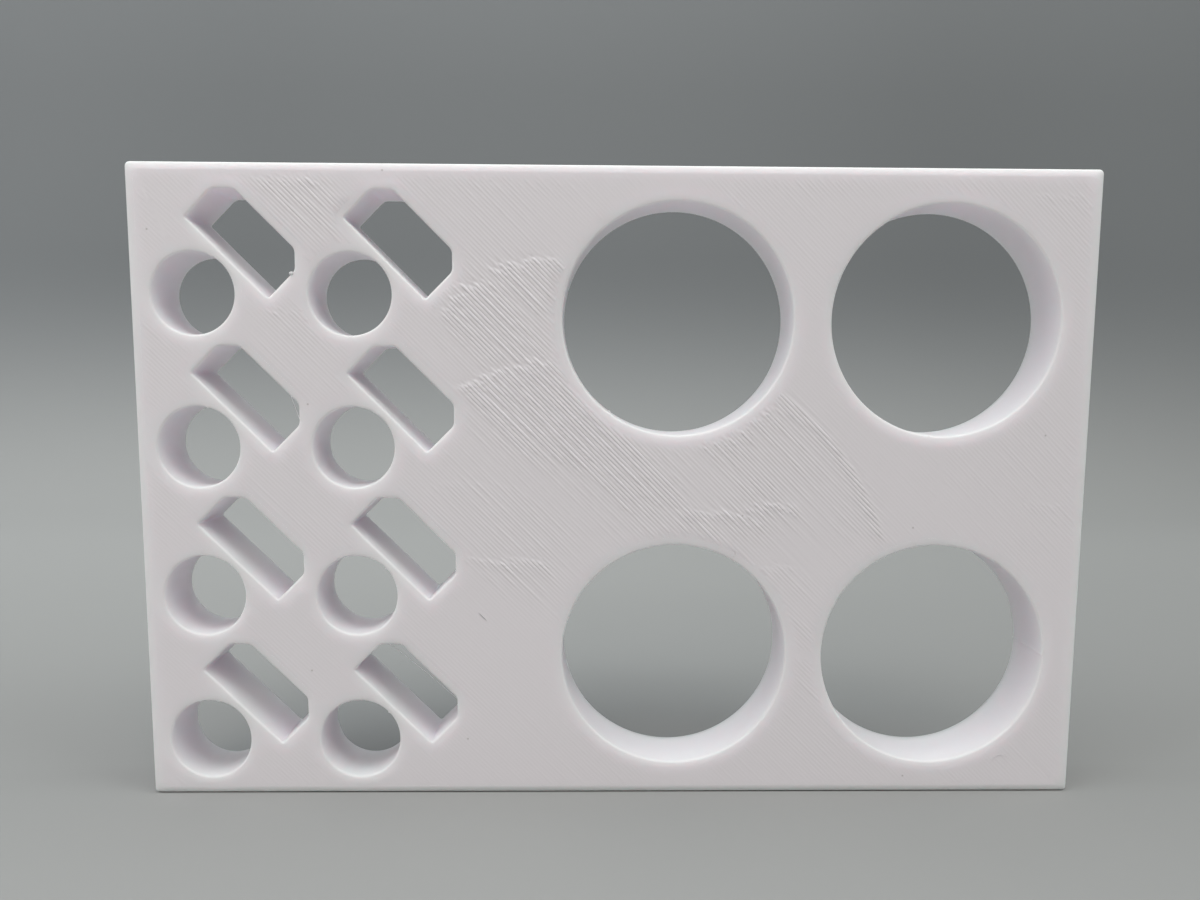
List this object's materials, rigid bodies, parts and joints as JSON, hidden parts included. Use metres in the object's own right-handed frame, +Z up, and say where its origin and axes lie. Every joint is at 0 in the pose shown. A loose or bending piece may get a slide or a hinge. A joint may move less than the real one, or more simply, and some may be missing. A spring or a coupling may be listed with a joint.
{
  "type": "centrifuge tube rack",
  "caption": "Flat printed rack plate: round holes hold microtubes beside angled slots for their open lids, and wide round holes hold large conical tubes.",
  "frame": {"origin": "middle of the bottom long edge, which the plate stands on", "axes": "+X along the long edge, to the right as seen from the front; -Y out of the front face; +Z up along the short edge"},
  "size_m": [0.1278, 0.0076, 0.0855],
  "materials": {
    "white_plastic": "matte white print with fine diagonal lines on the broad faces and layer lines on the walls"
  },
  "bodies": {
    "root": {"rack_plate": "white_plastic"}
  },
  "joints": []
}
